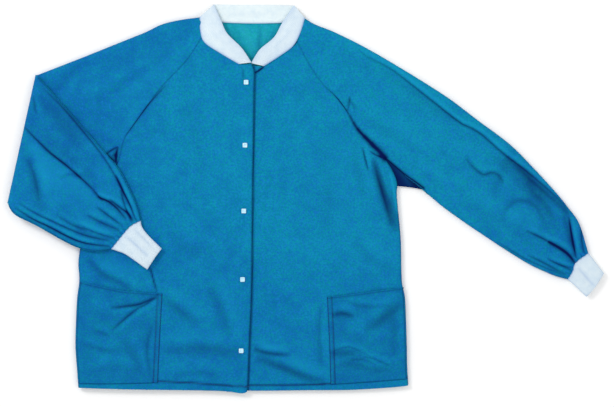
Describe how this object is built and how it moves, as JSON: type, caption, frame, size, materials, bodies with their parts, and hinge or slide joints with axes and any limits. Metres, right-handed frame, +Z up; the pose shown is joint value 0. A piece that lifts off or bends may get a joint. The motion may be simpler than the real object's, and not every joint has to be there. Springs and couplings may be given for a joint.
{
  "type": "lab coat",
  "caption": "Hip-length lab coat with raglan sleeves, rib-knit collar and cuffs, a snap front and patch pockets, lying flat with one sleeve folded at the elbow.",
  "frame": {"origin": "on the table, under the middle of the back panel", "axes": "+X towards the wearer's left sleeve, +Y from the hem to the collar, +Z up from the table through the front"},
  "size_m": [1.1915, 0.7716, 0.0294],
  "materials": {
    "blue_cloth": "matte mottled woven cloth, teal to mid blue",
    "inside_cloth": "matte inner face of the cloth, lighter teal",
    "white_knit": "soft rib knit, white",
    "snap_plastic": "smooth moulded white"
  },
  "bodies": {
    "torso": {"back_panel": "inside_cloth", "right_front_side": "blue_cloth", "left_front_side": "blue_cloth", "right_upper_sleeve": "blue_cloth", "left_sleeve_head": "blue_cloth", "back_collar": "white_knit", "right_pocket_edging": "blue_cloth", "left_pocket_edging": "blue_cloth"},
    "right_flap": {"right_front": "blue_cloth", "right_front_facing": "blue_cloth", "right_collar_end": "white_knit", "snap_caps": "snap_plastic", "snap_sockets": "snap_plastic"},
    "left_flap": {"left_front": "blue_cloth", "left_front_facing": "blue_cloth", "left_collar_end": "white_knit", "snap_studs": "snap_plastic", "snap_posts": "snap_plastic"},
    "right_forearm": {"right_forearm_sleeve": "blue_cloth", "right_cuff": "white_knit"},
    "left_arm": {"left_upper_sleeve": "blue_cloth"},
    "left_forearm": {"left_forearm_sleeve": "blue_cloth", "left_cuff": "white_knit"},
    "right_pocket_panel": {"right_pocket": "blue_cloth"},
    "left_pocket_panel": {"left_pocket": "blue_cloth"}
  },
  "joints": [
    {"name": "right_front_open", "type": "hinge", "parent": "torso", "child": "right_flap", "pos_m": [-0.094, 0, 0.0168], "axis": [0, -1, 0], "range_deg": [0, 150]},
    {"name": "left_front_open", "type": "hinge", "parent": "torso", "child": "left_flap", "pos_m": [0.10037, 0, 0.0122], "axis": [0, 1, 0], "range_deg": [0, 90]},
    {"name": "right_elbow_unfold", "type": "hinge", "parent": "torso", "child": "right_forearm", "pos_m": [-0.42203, 0.25634, 0.017], "axis": [-0.2147, -0.9767, 0], "range_deg": [0, 180]},
    {"name": "left_shoulder_fold", "type": "hinge", "parent": "torso", "child": "left_arm", "pos_m": [0.19781, 0.32621, 0.0122], "axis": [-0.3537, 0.9354, 0], "range_deg": [-150, 0]},
    {"name": "left_elbow_fold", "type": "hinge", "parent": "left_arm", "child": "left_forearm", "pos_m": [0.43977, 0.18932, 0.0122], "axis": [0, -1, 0], "range_deg": [0, 150]},
    {"name": "right_pocket_open", "type": "hinge", "parent": "torso", "child": "right_pocket_panel", "pos_m": [-0.257, -0.3605, 0.0228], "axis": [1, 0, 0], "range_deg": [0, 10]},
    {"name": "left_pocket_open", "type": "hinge", "parent": "torso", "child": "left_pocket_panel", "pos_m": [0.239, -0.3605, 0.0182], "axis": [1, 0, 0], "range_deg": [0, 10]}
  ],
  "couplings": [
    {"joint": "left_front_open", "follows": "right_front_open", "ratio": 0.55}
  ]
}
